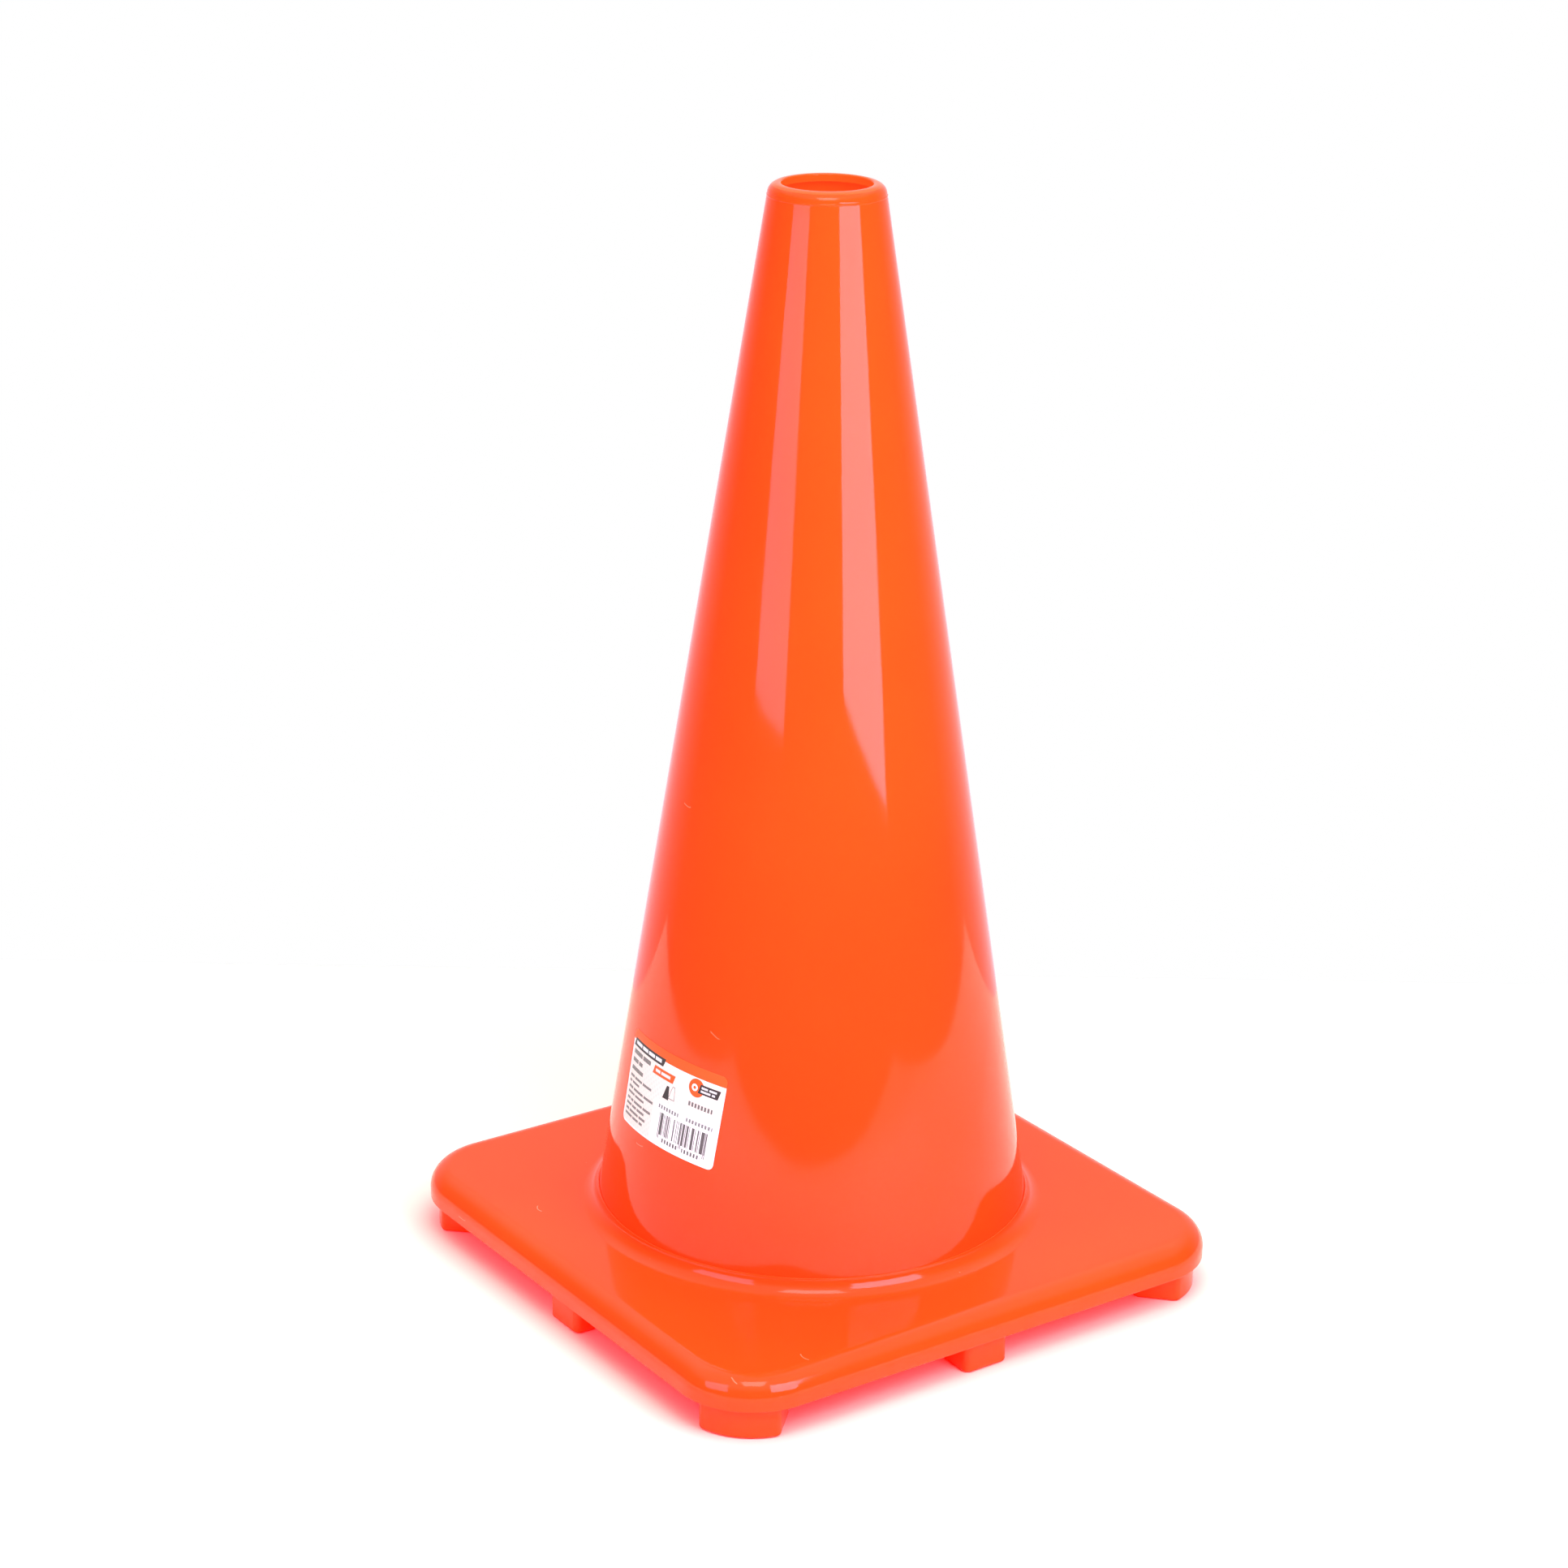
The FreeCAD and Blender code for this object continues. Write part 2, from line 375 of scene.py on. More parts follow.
def moulded_pvc(name, marks_per_metre, mark_share, glow, painted_shade_share):
    """Orange PVC with pale nicks and dark specks at random over the skin, painted shade that darkens
    it towards the bottom, and a painted glow.
    """
    material, pvc = new_material(name)
    where = pvc.node("ShaderNodeTexCoord", output=3)
    up = where.parts()[2]
    flow = noise(pvc, where, flow_scale, 3.0)
    colour = blended(pvc, spread(pvc, flow, 0.35, 0.65), pvc_orange, pvc_deep)
    # Painted shade: the colour darkens towards the bottom.
    painted_shade = spread(pvc, up, painted_shade_from, painted_shade_to, painted_shade_share, 0.0)
    colour = blended(pvc, painted_shade, colour, pvc_painted_shade)

    # Nicks: one chance in each Voronoi cell, drawn as a thin curved stroke.
    warp = noise(pvc, where, nick_warp_scale, 2.0, 1)
    warp = pvc.node("ShaderNodeVectorMath", {0: warp, "Scale": nick_warp}, operation="SCALE")
    warped = pvc.node("ShaderNodeVectorMath", {0: where, 1: warp}, operation="ADD")
    cells = pvc.node("ShaderNodeTexVoronoi", {
        "Vector": warped, "Scale": marks_per_metre, "Randomness": 1.0}, feature="F1")
    chance = pvc.node("ShaderNodeSeparateColor", {0: cells.output("Color")})
    local = pvc.node("ShaderNodeVectorMath", {
        0: warped, 1: cells.output("Position")}, operation="SUBTRACT")
    along, across, rise = local.parts()
    bowed = (across + rise) - along * along * nick_bow
    stroke = (abs(bowed) < nick_half_width) * (abs(along) < nick_half_length)
    nick = stroke * (chance > 1.0 - mark_share)
    colour = blended(pvc, nick * nick_paleness, colour, pvc_pale)
    # Specks: dark dots, in a finer set of cells.
    cells = pvc.node("ShaderNodeTexVoronoi", {
        "Vector": where, "Scale": marks_per_metre * speck_crowding, "Randomness": 1.0}, feature="F1")
    chance = pvc.node("ShaderNodeSeparateColor", {0: cells.output("Color")}, 1)
    speck = (cells < speck_radius) * (chance > 1.0 - mark_share * speck_share)
    colour = blended(pvc, speck * speck_darkness, colour, pvc_speck)

    smudge = spread(pvc, noise(pvc, where, smudge_scale, 5.0, Roughness=0.62), 0.5, 0.75)
    rough = pvc_roughness + smudge * smudge_roughness + nick * nick_roughness
    waves = bump(pvc, noise(pvc, where, wave_scale, 1.5), wave_height)
    peel = bump(pvc, noise(pvc, where, peel_scale, 1.0), peel_height, waves)
    # The emission is painted light: the PVC glows though it is no lamp.
    surface(pvc, Base_Color=colour, Roughness=rough, IOR=pvc_ior, Normal=peel,
            Emission_Color=glow(pvc, where), Emission_Strength=1.0,
            Subsurface_Weight=scatter_weight, Subsurface_Radius=scatter_radius,
            Subsurface_Scale=scatter_scale)
    return material


# The sleeve glows inside with painted light and darkens low down with painted shade.
sleeve_pvc = moulded_pvc("Sleeve PVC", 30.0, 0.05, painted_inside_glow, 0.85)
coated = sheet.node("GeometryNodeSetMaterial", {"Geometry": whole, "Material": sleeve_pvc})
sheet.node("NodeGroupOutput", {0: coated})

sleeve = grown(sleeve_tree, sleeve_sizes, "sleeve")
finish_surface(sleeve)
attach(sleeve, "root")
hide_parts("cone_body")

# ---- Base ----
# The heavy square foot, one solid moulding of the same PVC: a plate with broadly rounded
# edges, a collar that grips the sleeve, and eight feet. The sleeve is pushed up through
# its throat from below.

base_low, base_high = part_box("weighted_base")
half_side = base_high.x
corner_radius = 0.033
plate_top_rounding = 0.009
plate_bottom_rounding = 0.0008
plate_thickness = 0.0131
foot_height = seat_height
plate_top = foot_height + plate_thickness
collar_top = base_high.z
collar_reach = 0.007
collar_lip = 0.0005
throat_clearance = 0.0001
pocket_clearance = 0.0004
steps_per_side = 36
steps_per_corner = 32
steps_per_edge = 16


def sleeve_radius(height):
    return tip_radius + slope * (total_height - height)


def rounded(corners, steps):
    """Open outline through (across, up, rounding) corners, its roundings as arcs."""
    path = []
    for number, (across, up, radius) in enumerate(corners):
        here = Vector((across, up))
        if radius == 0:
            path.append(here)
            continue
        back = (Vector(corners[number - 1][:2]) - here).normalized()
        ahead = (Vector(corners[number + 1][:2]) - here).normalized()
        half = back.angle(ahead) / 2
        centre = here + (back + ahead).normalized() * radius / math.sin(half)
        start = here + back * radius / math.tan(half) - centre
        end = here + ahead * radius / math.tan(half) - centre
        swing = math.atan2(start.x * end.y - start.y * end.x, start.dot(end))
        for step in range(steps + 1):
            path.append(centre + Matrix.Rotation(swing * step / steps, 2) @ start)
    return path


# The plate's outline, once round: points of the square that the corner arcs turn about,
# each with the outward direction there.
core = half_side - corner_radius
outline_points = []
for quarter in range(4):
    turn = Matrix.Rotation(quarter * math.pi / 2, 2)
    for step in range(steps_per_side):
        share = step / steps_per_side
        point = Vector((core, core * (2 * share - 1)))
        outline_points.append((turn @ point, turn @ Vector((1, 0))))
    for step in range(steps_per_corner):
        swing = math.pi / 2 * step / steps_per_corner
        facing = Vector((math.cos(swing), math.sin(swing)))
        outline_points.append((turn @ Vector((core, core)), turn @ facing))


def plate_row(inset, height):
    """Row of points round the plate, a distance inside its outline."""
    return [(*(p + n * (corner_radius - inset)), height) for p, n in outline_points]


def round_row(radius, height):
    """Row of points round the sleeve's axis, facing the same way as the plate's."""
    rays = [(p + n * corner_radius).normalized() for p, n in outline_points]
    return [(*(ray * radius), height) for ray in rays]


# The hollow is a circle's arc from the collar's lip down to the deck.
pocket_radius = flange_radius + pocket_clearance
pocket_roof = seat_height + flange_thickness
collar_foot_radius = sleeve_radius(plate_top) + collar_reach
lip_radius = sleeve_radius(collar_top) + throat_clearance + collar_lip
arc_run = collar_foot_radius - lip_radius
arc_drop = collar_top - plate_top
hollow_radius = (arc_run ** 2 + arc_drop ** 2) / (2 * arc_drop)
hollow_turn = math.atan2(arc_run, hollow_radius - arc_drop)
hollow_corner = collar_foot_radius - hollow_radius * math.tan(hollow_turn / 2)
# The hollow's arc takes this share of its full radius, to end short of the lip's rounding.
hollow_share = 0.97
deck_start = collar_foot_radius + collar_reach / 2
deck_end = plate_top_rounding * 1.3
# The round part of the section, from the pocket's edge under the plate, up the throat,
# over the collar's lip and down its hollow face to the deck.
section = rounded([
    (pocket_radius, foot_height, 0),
    (pocket_radius, pocket_roof, edge_rounding),
    (sleeve_radius(pocket_roof) + throat_clearance, pocket_roof, edge_rounding),
    (sleeve_radius(collar_top) + throat_clearance, collar_top, edge_rounding / 2),
    (lip_radius, collar_top, edge_rounding / 2),
    (hollow_corner, plate_top, hollow_radius * hollow_share),
    (deck_start, plate_top, 0),
], steps_per_edge)
rows = [round_row(radius, height) for radius, height in section]
# The square part, as (inset, height): deck, rounded edge, side and underside.
rim = rounded([
    (deck_end, plate_top, 0),
    (0, plate_top, plate_top_rounding),
    (0, foot_height, plate_bottom_rounding),
    (plate_bottom_rounding * 2, foot_height, 0),
], steps_per_edge)
rows += [plate_row(inset, height) for inset, height in rim]

plate_mesh = bmesh.new()
grid = [[plate_mesh.verts.new(point) for point in row] for row in rows]
around = len(outline_points)
for number, row in enumerate(grid):
    after = grid[(number + 1) % len(grid)]
    for step in range(around):
        beside = (step + 1) % around
        plate_mesh.faces.new((row[step], row[beside], after[beside], after[step]))
bmesh.ops.recalc_face_normals(plate_mesh, faces=plate_mesh.faces)
base = bpy.data.objects.new("base", bpy.data.meshes.new("base"))
bpy.context.scene.collection.objects.link(base)
plate_mesh.to_mesh(base.data)
plate_mesh.free()

# The feet: solid pads with rounded uprights and a small rounding at the sole.
foot_inset = 0.0035
side_foot_width = 0.021
side_foot_depth = 0.018
corner_foot_width = 0.0325
corner_foot_depth = 0.024
upright_rounding = 0.0032
sole_rounding = 0.0015
foot_root = 0.002
steps_per_upright = 8
steps_per_sole = 6


def corner_sweep(across, up, start, end, steps=steps_per_upright):
    """One rounded upright: its centre, with the directions it turns through."""
    return [(across, up, start + (end - start) * step / steps) for step in range(steps + 1)]


def foot_pad(name, sweep):
    """Pad whose outline stands one upright rounding outside the swept centres."""
    shape = bmesh.new()
    stations = [(0, foot_height + foot_root)]
    stations += [tuple(p) for p in rounded([
        (0, foot_height, 0), (0, 0, sole_rounding), (sole_rounding, 0, 0)], steps_per_sole)[:-1]]
    pad_rows = []
    for inset, height in stations:
        reach = upright_rounding - inset
        pad_rows.append([shape.verts.new(
            (x + reach * math.cos(a), y + reach * math.sin(a), height)) for x, y, a in sweep])
    for row, after in zip(pad_rows, pad_rows[1:]):
        for step in range(len(row)):
            beside = (step + 1) % len(row)
            shape.faces.new((row[step], row[beside], after[beside], after[step]))
    shape.faces.new(pad_rows[0])
    shape.faces.new(pad_rows[-1])
    bmesh.ops.recalc_face_normals(shape, faces=shape.faces)
    pad = bpy.data.objects.new(name, bpy.data.meshes.new(name))
    shape.to_mesh(pad.data)
    shape.free()
    return pad


quarter_turn = math.pi / 2
outer = half_side - foot_inset - upright_rounding
inner = half_side - foot_inset - side_foot_depth + upright_rounding
half_width = side_foot_width / 2 - upright_rounding
side_pad = foot_pad("side foot", (
    corner_sweep(outer, half_width, 0, quarter_turn)
    + corner_sweep(inner, half_width, quarter_turn, 2 * quarter_turn)
    + corner_sweep(inner, -half_width, 2 * quarter_turn, 3 * quarter_turn)
    + corner_sweep(outer, -half_width, 3 * quarter_turn, 4 * quarter_turn)))

# The corner pad lies along +X here, and is turned on to the diagonals with the copies.
arc_middle = core * math.sqrt(2)
face_radius = corner_radius - foot_inset - upright_rounding
half_width = corner_foot_width / 2 - upright_rounding
half_angle = math.asin(half_width / face_radius)
inner = arc_middle + corner_radius - foot_inset - corner_foot_depth + upright_rounding
shoulder = arc_middle + face_radius * math.cos(half_angle)
steps_per_face = 16
face_sweep = []
for step in range(1, steps_per_face):
    swing = half_angle * (2 * step / steps_per_face - 1)
    face_sweep.append((
        arc_middle + face_radius * math.cos(swing), face_radius * math.sin(swing), swing))
corner_pad = foot_pad("corner foot", (
    corner_sweep(shoulder, half_width, half_angle, quarter_turn)
    + corner_sweep(inner, half_width, quarter_turn, 2 * quarter_turn)
    + corner_sweep(inner, -half_width, 2 * quarter_turn, 3 * quarter_turn)
    + corner_sweep(shoulder, -half_width, 3 * quarter_turn, 4 * quarter_turn - half_angle)
    + face_sweep))

feet_sizes = {"Copies": 4.0, "Corner Turn": math.pi / 4}
feet_tree, size = node_group("Feet round the plate", feet_sizes)
sheet = Wire(feet_tree)
number = sheet.node("GeometryNodeInputIndex")
hub = sheet.node("GeometryNodeMeshLine", {"Count": size["Copies"], "Offset": (0, 0, 0)})
ring = []
for pad, offset in ((side_pad, 0.0), (corner_pad, size["Corner Turn"])):
    swing = number * (2 * math.pi / size["Copies"]) + offset
    pad_shape = sheet.node("GeometryNodeObjectInfo", {"Object": pad}, "Geometry")
    ring.append(sheet.node("GeometryNodeInstanceOnPoints", {
        "Points": hub, "Instance": pad_shape,
        "Rotation": sheet.node("ShaderNodeCombineXYZ", {2: swing})}))
joined = sheet.node("GeometryNodeJoinGeometry")
for copies in ring:
    feet_tree.links.new(copies.socket, joined.socket.node.inputs[0])
whole = sheet.node("GeometryNodeRealizeInstances", {0: joined})
# The base takes the faint painted glow all over, and the painted shade nearly evenly across its low
# height.
base_pvc = moulded_pvc("Base PVC", 42.0, 0.07, lambda pvc, where: pvc_painted_glow, 0.35)
coated = sheet.node("GeometryNodeSetMaterial", {"Geometry": whole, "Material": base_pvc})
sheet.node("NodeGroupOutput", {0: coated})
feet = grown(feet_tree, feet_sizes, "feet")

# Plate and feet are one moulding, so they become one closed mesh.
base.data.materials.append(base_pvc)
union = base.modifiers.new("One moulding", "BOOLEAN")
union.operation = "UNION"
union.solver = "EXACT"
union.object = feet
base.data = settled(base)
base.modifiers.clear()
base.data.materials.clear()
base.data.materials.append(base_pvc)
for spare in (feet, side_pad, corner_pad):
    bpy.data.objects.remove(spare)
finish_surface(base)
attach(base, "root")
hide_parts("weighted_base")

# ---- Product label ----
# A satin film with rounded corners, printed before it was stuck to the sleeve by hand, a
# little askew. Its print is generic: blocks, rules, a cone sign and a plain bar pattern.

label_width = 0.060
label_height = 0.040
label_corner_radius = 0.0025
label_film = 0.00012
label_centre_height = 0.0934
label_bearing = math.radians(-84.0)
label_tilt = math.radians(2.2)
label_columns = 96
label_rows = 40
steps_per_label_corner = 8
apex_height = total_height + tip_radius / slope
apex_to_label = (apex_height - label_centre_height) / math.cos(taper)


def on_sleeve(across, up, proud):
    """Point of the sleeve's unrolled skin, wrapped back on and raised a little."""
    x = across * math.cos(label_tilt) + up * math.sin(label_tilt)
    y = up * math.cos(label_tilt) - across * math.sin(label_tilt)
    slant = math.hypot(x, apex_to_label - y)
    bearing = label_bearing + math.atan2(x, apex_to_label - y) / math.sin(taper)
    radius = slant * math.sin(taper) + proud * math.cos(taper)
    height = apex_height - slant * math.cos(taper) + proud * math.sin(taper)
    return radius * math.cos(bearing), radius * math.sin(bearing), height


half_height = label_height / 2
straight = half_height - label_corner_radius
ups = [-straight - label_corner_radius * math.cos(quarter_turn * s / steps_per_label_corner)
       for s in range(steps_per_label_corner)]
ups += [-straight + 2 * straight * s / label_rows for s in range(label_rows + 1)]
ups += [-up for up in reversed(ups[:steps_per_label_corner])]

film = bmesh.new()
uv_layer = film.loops.layers.uv.new("UVMap")
flat_place = {}
layers = []
for proud in (0.0, label_film):
    layer = []
    for up in ups:
        past = max(0.0, abs(up) - straight)
        bite = label_corner_radius - math.sqrt(max(0.0, label_corner_radius ** 2 - past ** 2))
        reach = label_width / 2 - bite
        row = []
        for column in range(label_columns + 1):
            across = reach * (2 * column / label_columns - 1)
            vert = film.verts.new(on_sleeve(across, up, proud))
            flat_place[vert] = (across / label_width + 0.5, up / label_height + 0.5)
            row.append(vert)
        layer.append(row)
    layers.append(layer)
under, over = layers
for layer in layers:
    for row, after in zip(layer, layer[1:]):
        for step in range(label_columns):
            film.faces.new((row[step], row[step + 1], after[step + 1], after[step]))


def once_round(layer):
    """The outermost points of a layer, in order."""
    right = [row[-1] for row in layer[1:-1]]
    left = [row[0] for row in layer[-2:0:-1]]
    return layer[0] + right + layer[-1][::-1] + left


edge_under = once_round(under)
edge_over = once_round(over)
for step in range(len(edge_under)):
    beside = (step + 1) % len(edge_under)
    film.faces.new((edge_under[step], edge_under[beside], edge_over[beside], edge_over[step]))
for face in film.faces:
    for loop in face.loops:
        loop[uv_layer].uv = flat_place[loop.vert]
bmesh.ops.recalc_face_normals(film, faces=film.faces)
label = bpy.data.objects.new("label", bpy.data.meshes.new("label"))
bpy.context.scene.collection.objects.link(label)
film.to_mesh(label.data)
film.free()

paper_white = (0.93, 0.90, 0.88, 1.0)
panel_white = (0.96, 0.95, 0.94, 1.0)
tint_pink = (0.86, 0.75, 0.64, 1.0)
tint_rose = (0.88, 0.66, 0.56, 1.0)
ink_orange = (0.90, 0.090, 0.004, 1.0)
ink_black = (0.035, 0.022, 0.022, 1.0)
ink_grey = (0.08, 0.07, 0.07, 1.0)
print_grain_scale = 260.0
film_ior = 1.46
film_roughness = 0.34
film_roughness_change = 0.12
film_grain_scale = 180.0
ripple_scale = 70.0
ripple_height = 0.00004

label_film_print, ink = new_material("Printed label film")
flat = ink.node("ShaderNodeUVMap", uv_map="UVMap")
# Print is set out in millimetres from the label's top left corner.
millimetres = 1000.0
right, up = flat.parts()[:2]
x = right * (label_width * millimetres)
y = label_height * millimetres - up * (label_height * millimetres)


def between(value, low, high):
    return (value > low) * (value < high)


def block(left, top, right, bottom, skew=0.0):
    """Printed block; skew leans it to the right, in millimetres over its height."""
    sideways = x + (y - bottom) * (skew / (bottom - top)) if skew else x
    return between(sideways, left, right) * between(y, top, bottom)


def disc(middle_x, middle_y, radius):
    dx = x - middle_x
    dy = y - middle_y
    return (dx * dx + dy * dy) < radius * radius


def soft_block(left, top, right, bottom, corner):
    """Printed block with round corners."""
    dx = abs(x - (left + right) / 2) - ((right - left) / 2 - corner)
    dy = abs(y - (top + bottom) / 2) - ((bottom - top) / 2 - corner)
    dx = dx.at_least(0.0)
    dy = dy.at_least(0.0)
    return (dx * dx + dy * dy) < corner * corner


def rule(left, right, middle, tall, gap_at):
    """A line of print, drawn as plain dashes with a gap at each place in gap_at."""
    marks = between(x, left, right) * between(y, middle - tall / 2, middle + tall / 2)
    for gap in gap_at:
        marks = marks * (1.0 - between(x, gap, gap + 0.7))
    grain = noise(ink, flat, print_grain_scale, 1.0)
    return marks * spread(ink, grain, 0.38, 0.5, 0.45, 1.0)


colour = paper_white
# Tinted ground with a fine slanting weave, inside a white margin.
ground = block(1.0, 4.9, 59.2, 39.2)
weave = ((x + y) * 2.4).wave() * ((x - y * 0.6) * 3.1).wave()
tint = blended(ink, weave, tint_pink, tint_rose)
colour = blended(ink, ground * 0.8, colour, tint)
# Orange header and the plain dark banner that hangs from it.
colour = blended(ink, y < 4.5, colour, ink_orange)
colour = blended(ink, block(1.0, 3.5, 26.4, 7.0, 1.3), colour, ink_black)
colour = blended(ink, rule(3.2, 25.0, 5.25, 1.5, (9.0, 14.5, 20.0)), colour, panel_white)
# Lines of print.
for left, right, middle, tall, gaps in (
        (2.3, 17.8, 9.2, 1.9, (10.6,)),
        (2.2, 11.6, 12.7, 1.7, (7.6,)),
        (2.2, 13.0, 16.2, 1.7, ()),
        (2.1, 21.0, 19.6, 1.1, (6.0, 13.2)),
        (2.1, 11.4, 21.9, 1.0, (4.2,)),
        (2.1, 23.2, 24.4, 1.1, (6.2, 15.4)),
        (2.1, 16.8, 26.7, 1.0, (8.4,)),
        (2.1, 22.6, 29.3, 1.1, (5.0, 8.1, 16.0)),
        (2.1, 18.2, 31.6, 1.1, (7.0, 11.5)),
        (2.1, 19.6, 33.9, 1.1, (5.2, 13.9)),
        (2.1, 18.0, 36.1, 1.1, (8.8, 14.6))):
    colour = blended(ink, rule(left, right, middle, tall, gaps), colour, ink_grey)
# Size tag, with two plain dashes.
colour = blended(ink, block(20.0, 8.2, 33.6, 11.8, 1.1), colour, ink_orange)
colour = blended(ink, rule(22.0, 31.8, 10.0, 1.3, (25.2,)) * 0.85, colour, panel_white)
# Cone sign: a solid cone in front of an outlined one.
for left, foot, half_foot, tall, filled in (
        (34.0, 18.6, 2.0, 5.9, False),
        (30.6, 19.4, 1.9, 5.8, True)):
    lift = (foot - y) / tall
    breadth = half_foot * (1.0 - lift * 0.62)
    offset = abs(x - left - lift * 0.7)
    body = (offset < breadth) * between(lift, 0.0, 1.0)
    if not filled:
        body = body * (1.0 - (offset < breadth - 0.35) * between(lift, 0.07, 0.93))
    colour = blended(ink, body * (1.0 if filled else 0.6), colour, ink_black)
# Round badge with a ring, and a plain dark plaque beside it.
colour = blended(ink, disc(46.3, 8.8, 3.9), colour, ink_orange)
colour = blended(ink, disc(45.4, 8.8, 1.5) * (1.0 - disc(45.4, 8.8, 0.7)), colour, panel_white)
colour = blended(ink, block(47.2, 6.6, 57.0, 10.6, 1.0), colour, ink_black)
colour = blended(ink, rule(48.8, 56.2, 7.9, 0.9, (51.9,)) * 0.8, colour, panel_white)
colour = blended(ink, rule(48.6, 55.6, 9.4, 0.9, (53.4,)) * 0.8, colour, panel_white)
# A row of short dashes where a code would be stamped.
dash = (x * 0.62).fraction()
stamp = between(x, 43.0, 55.6) * between(y, 15.2, 17.1) * (dash < 0.62)
colour = blended(ink, stamp * 0.9, colour, ink_grey)
# White panel with a bar pattern of random widths.
colour = blended(ink, soft_block(24.0, 20.9, 62.0, 42.0, 1.5), colour, panel_white)
for left, right in ((27.4, 39.4), (43.7, 57.0)):
    stamp = between(x, left, right) * between(y, 22.5, 24.1) * (dash < 0.6)
    colour = blended(ink, stamp * 0.85, colour, ink_grey)
bar_width = 0.33
column = x / bar_width
column = column.math("FLOOR", column)
chosen = ink.node("ShaderNodeTexWhiteNoise", {"W": column + 0.5}, noise_dimensions="1D")
bars = (chosen > 0.47) * between(x, 29.0, 55.4)
guards = between(x, 29.0, 29.35) + between(x, 29.7, 30.05) + between(x, 42.0, 42.35)
guards = guards + between(x, 42.7, 43.05) + between(x, 54.3, 54.65) + between(x, 55.0, 55.35)
bars = bars * between(y, 25.6, 35.0) + guards * between(y, 25.6, 36.6)
colour = blended(ink, bars.math("MINIMUM", bars, 1.0) * 0.92, colour, ink_black)
stamp = (between(x, 31.4, 41.2) + between(x, 43.8, 53.4)) * between(y, 35.9, 37.6)
stamp = stamp * (dash < 0.55)
colour = blended(ink, stamp * 0.95, colour, ink_grey)

object_place = ink.node("ShaderNodeTexCoord", output=3)
ripple = bump(ink, noise(ink, object_place, ripple_scale, 2.0), ripple_height)
rough = film_roughness + noise(ink, object_place, film_grain_scale, 3.0) * film_roughness_change
surface(ink, Base_Color=colour, Roughness=rough, IOR=film_ior, Normal=ripple)
label.data.materials.append(label_film_print)
finish_surface(label)
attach(label, "root")
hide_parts("product_label")

# ---- Floor ----
# A sheet of pale paper off a roll, laid on a table; the room round it shows through.

sheet_width = 1.36
sheet_front = 0.64
sheet_back = 0.30
floor_drop = 0.0002
paper_pale = (0.63, 0.74, 0.60, 1.0)
# Painted shadow: the paper's colour close round the base.
paper_painted_shadow = (0.63, 0.44, 0.38, 1.0)
paper_roughness = 0.8
# Painted light: the red glow close round the base, in place of bounced light.
painted_bounce_light = (0.75, 0.0, 0.0, 1.0)
# Painted light: the glow that brightens the paper away from the cone.
painted_far_light = (0.5, 0.5, 0.5, 1.0)
no_light = (0.0, 0.0, 0.0, 1.0)
painted_bounce_from = -0.008
painted_bounce_to = 0.028
painted_bounce_shift = (0.008, 0.0)
painted_far_from = 0.42
painted_far_to = 0.62
camera_bearing = math.radians(54.67)
paper = bmesh.new()
corners = [
    paper.verts.new((across, along, -floor_drop)) for across, along in (
        (-sheet_width / 2, -sheet_front), (sheet_width / 2, -sheet_front),
        (sheet_width / 2, sheet_back), (-sheet_width / 2, sheet_back))]
paper.faces.new(corners)
bmesh.ops.rotate(paper, verts=corners, matrix=Matrix.Rotation(camera_bearing, 3, "Z"))
floor = bpy.data.objects.new("floor", bpy.data.meshes.new("floor"))
bpy.context.scene.collection.objects.link(floor)
paper.to_mesh(floor.data)
paper.free()
# Painted light on the paper: close round the base, a painted shadow darkens its colour and a painted
# red glow stands in for light bounced off the base, set a little off centre; farther out, a painted
# glow brightens it.
floor_paint, paint = new_material("Pale paper")
where = paint.node("ShaderNodeTexCoord", output=3)
past_core = [
    (abs(offset + shift) - core).at_least(0.0) for offset, shift in zip(where.parts(), painted_bounce_shift)]
from_core = (past_core[0] * past_core[0] + past_core[1] * past_core[1]).root()
painted_bounce = spread(paint, from_core - corner_radius, painted_bounce_from, painted_bounce_to, 1.0, 0.0)
painted_bounce = painted_bounce * painted_bounce
away = paint.node("ShaderNodeVectorMath", {0: where}, 1, operation="LENGTH")
painted_far_glow = blended(paint, spread(paint, away, painted_far_from, painted_far_to), no_light, painted_far_light)
surface(paint, Base_Color=blended(paint, painted_bounce, paper_pale, paper_painted_shadow), Roughness=paper_roughness,
        Emission_Color=blended(paint, painted_bounce, painted_far_glow, painted_bounce_light), Emission_Strength=1.0)
floor.data.materials.append(floor_paint)

# ---- Camera ----
# An 85 mm lens a little above the cone's height, level with neither side of the base.

camera_distance = 1.4142
camera_height = 0.7283
camera_pan = math.radians(0.56)
camera_pitch = math.radians(20.1)
camera_roll = math.radians(0.70)
camera = bpy.data.objects.new("camera", bpy.data.cameras.new("camera"))
bpy.context.scene.collection.objects.link(camera)
camera.data.lens = 85
camera.data.sensor_width = 36
turned = (
    Matrix.Rotation(camera_bearing + camera_pan, 4, "Z")
    @ Matrix.Rotation(math.pi / 2 - camera_pitch, 4, "X")
    @ Matrix.Rotation(camera_roll, 4, "Z"))
camera.matrix_world = Matrix.Translation((
    camera_distance * math.sin(camera_bearing),
    -camera_distance * math.cos(camera_bearing),
    camera_height)) @ turned
bpy.context.scene.camera = camera

# ---- Light ----
# Two tinted softboxes stand close in front and a third hangs overhead. Three panels fill
# in from farther off, in a pale room that is bright behind the cone and dim before it.


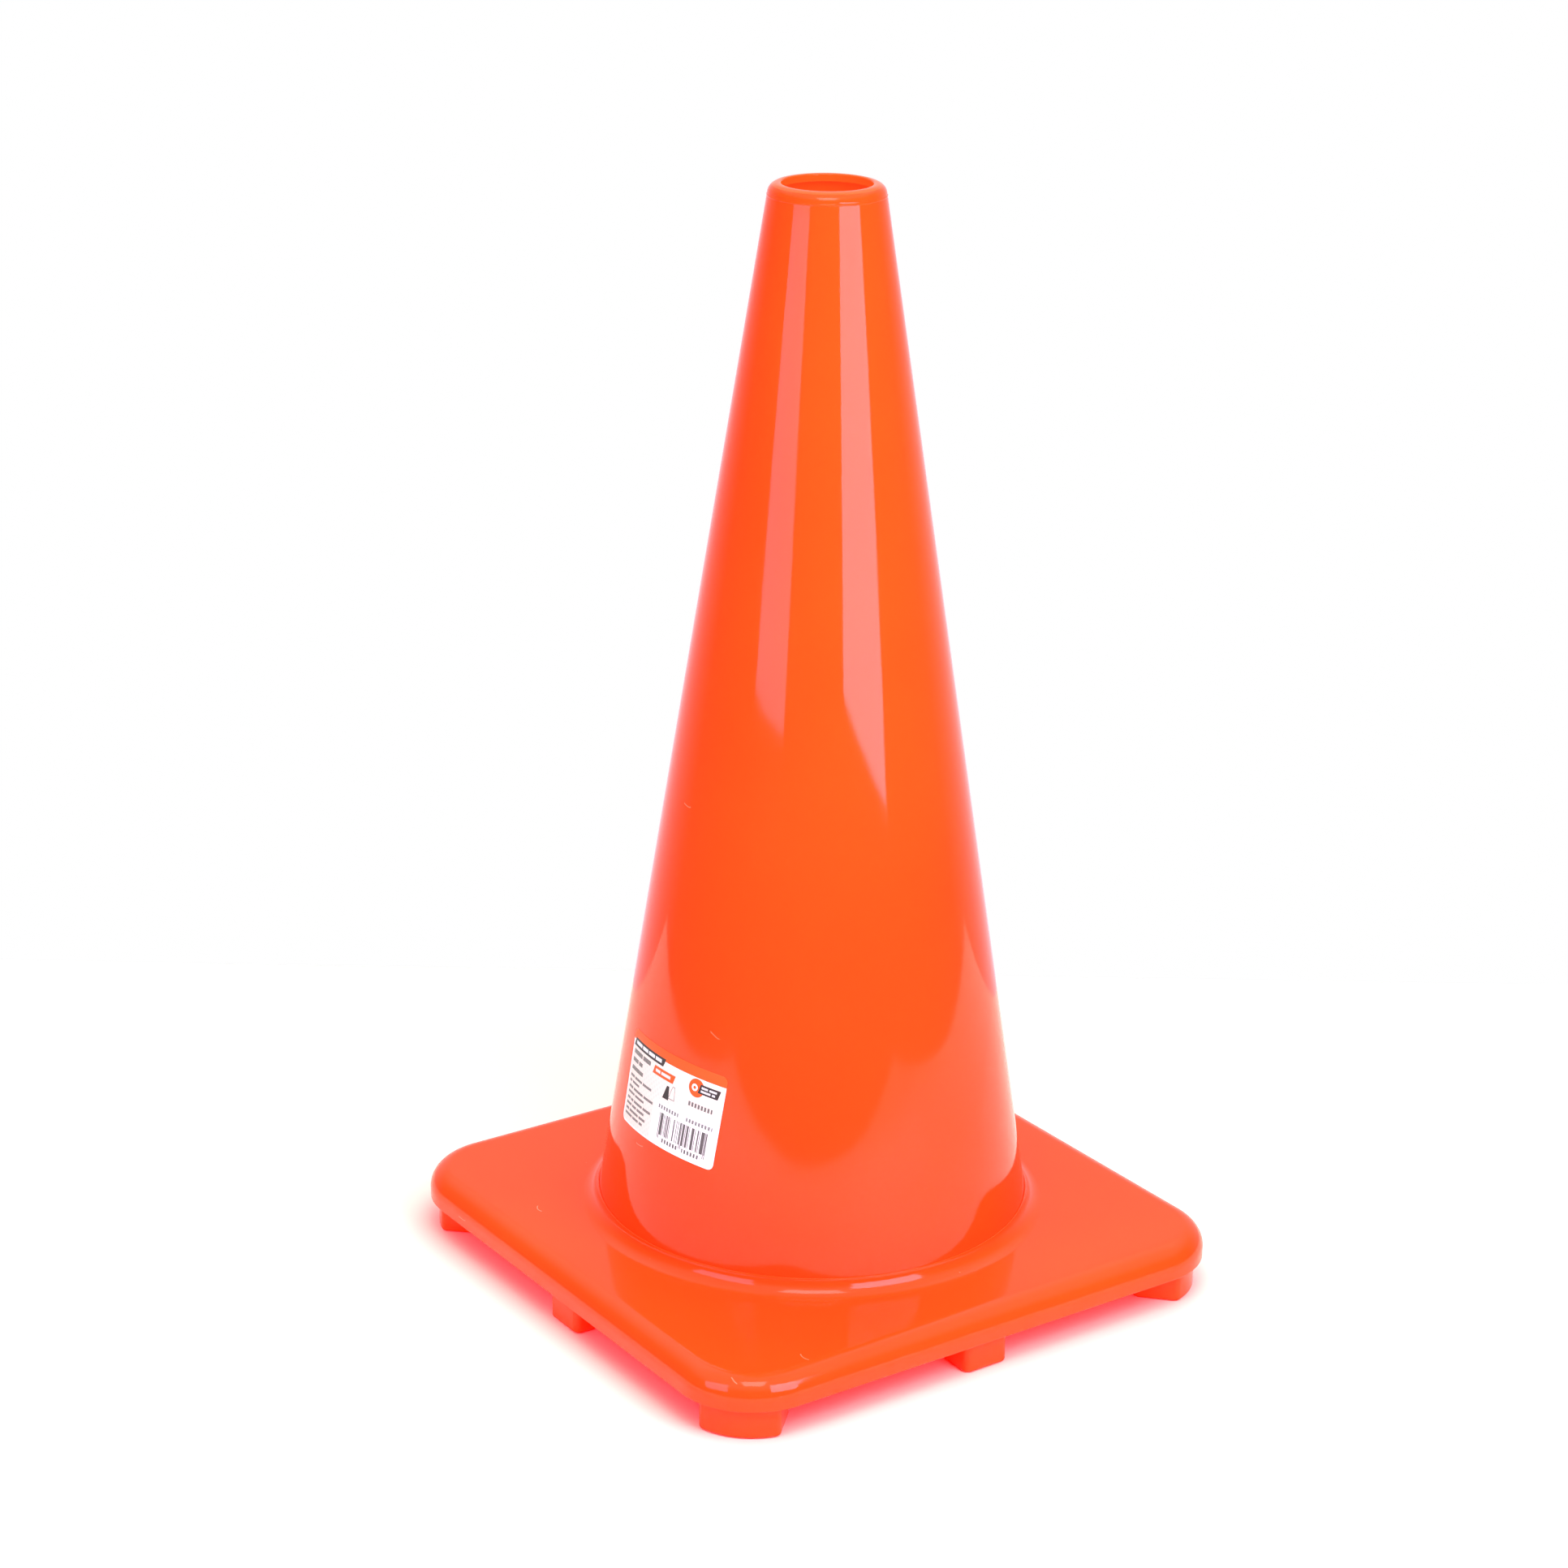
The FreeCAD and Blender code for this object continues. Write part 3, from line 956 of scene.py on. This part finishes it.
def softbox(name, bearing, reach, middle, width, tall, down, turn=0.0, roll=0.0, radiance=1.0,
            tint=(1.0, 1.0, 1.0)):
    """Area lamp at a bearing from the camera's side, facing in and down, angles in degrees."""
    lamp = bpy.data.lights.new(name, "AREA")
    lamp.shape = "RECTANGLE"
    lamp.size = width
    lamp.size_y = tall
    lamp.energy = radiance * math.pi * width * tall
    lamp.color = tint
    box = bpy.data.objects.new(name, lamp)
    bpy.context.scene.collection.objects.link(box)
    box.matrix_world = (
        Matrix.Rotation(camera_bearing + math.radians(bearing), 4, "Z")
        @ Matrix.Translation((0, -reach, middle))
        @ Matrix.Rotation(math.radians(turn), 4, "Z")
        @ Matrix.Rotation(math.radians(90 - down), 4, "X")
        @ Matrix.Rotation(math.radians(roll), 4, "Z"))
    box.visible_camera = False
    return box


softbox("softbox left", -45.7, 0.68, 0.366, 0.41, 0.34, 36, turn=30, radiance=4.15,
        tint=(1.0, 0.74, 1.2))
softbox("softbox right", 39.3, 0.57, 0.379, 0.37, 0.37, 24, turn=1, roll=-14.2, radiance=7.8,
        tint=(1.0, 0.84, 1.2))
softbox("softbox overhead", 2.0, 0.485, 0.95, 0.36, 0.42, 90, radiance=6.0)
# The three panels fill in; only the softboxes and the room show in the gloss.
for name, bearing, reach, middle, width, tall, down, radiance in (
        ("panel above the camera", 16.0, 0.50, 0.85, 1.0, 0.5, 45, 3.0),
        ("panel on the left", -100.0, 1.0, 1.0, 0.9, 0.7, 42, 0.8),
        ("panel above the back", 180.0, 0.7, 1.2, 1.8, 0.9, 60, 2.1)):
    panel = softbox(name, bearing, reach, middle, width, tall, down, radiance=radiance)
    panel.visible_glossy = False

room_tint = (1.0, 0.93, 1.05, 1.0)
back_brightness = 0.95
front_brightness = 0.17
ceiling_brightness = 0.9
fall_with_height = 0.45
world = bpy.data.worlds.new("Studio")
bpy.context.scene.world = world
world.use_nodes = True
world.node_tree.nodes.clear()
room = Wire(world.node_tree)
direction = room.node("ShaderNodeTexCoord", output=0)
height = direction.parts()[2]
towards_camera = (math.sin(camera_bearing), -math.cos(camera_bearing), 0.0)
facing = room.node("ShaderNodeVectorMath", {
    0: direction, 1: towards_camera}, 1, operation="DOT_PRODUCT")
brightness = spread(room, facing, -0.95, -0.28, back_brightness, front_brightness)
brightness = brightness * (1.0 - height * fall_with_height)
brightness = brightness + spread(room, height, 0.5, 0.75, 0.0, ceiling_brightness)
seen = room.node("ShaderNodeLightPath")
lit = room.node("ShaderNodeBackground", {"Color": room_tint, "Strength": brightness})
plain = room.node("ShaderNodeBackground", {"Color": (1.0, 1.0, 1.0, 1.0), "Strength": 1.0})
mixed = room.node("ShaderNodeMixShader", {0: seen, 1: lit, 2: plain})
room.node("ShaderNodeOutputWorld", {"Surface": mixed})
bpy.context.scene.view_settings.view_transform = "Standard"
